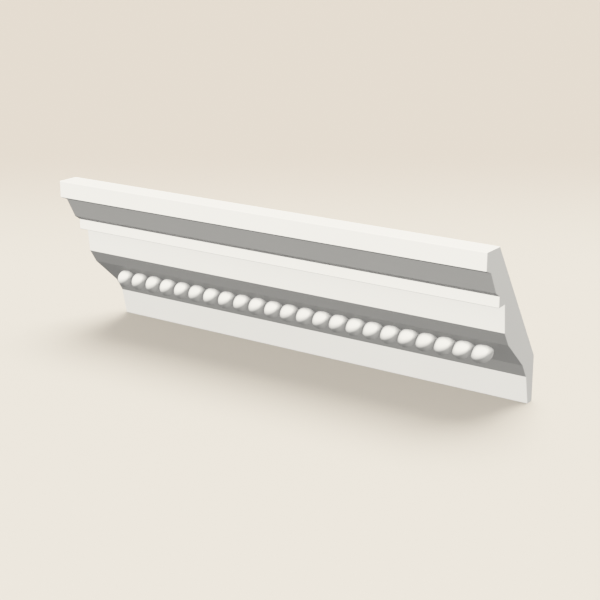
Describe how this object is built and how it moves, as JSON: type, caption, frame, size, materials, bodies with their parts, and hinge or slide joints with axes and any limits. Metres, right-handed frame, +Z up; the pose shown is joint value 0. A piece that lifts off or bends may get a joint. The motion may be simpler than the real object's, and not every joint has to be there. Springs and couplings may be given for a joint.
{
  "type": "cornice moulding length",
  "caption": "Length of white crown moulding with stepped fascia and bands, a sloping bed that carries a row of rope beads, a tapered foot, and square cut ends.",
  "frame": {"origin": "centre of the flat back face that lies against the wall", "axes": "+X along the moulding, +Y into the wall, +Z up to the ceiling"},
  "size_m": [0.3, 0.0629, 0.1015],
  "materials": {
    "white_primer": "smooth matt white primer over cast high-density foam"
  },
  "bodies": {
    "root": {"moulding": "white_primer"}
  },
  "joints": []
}
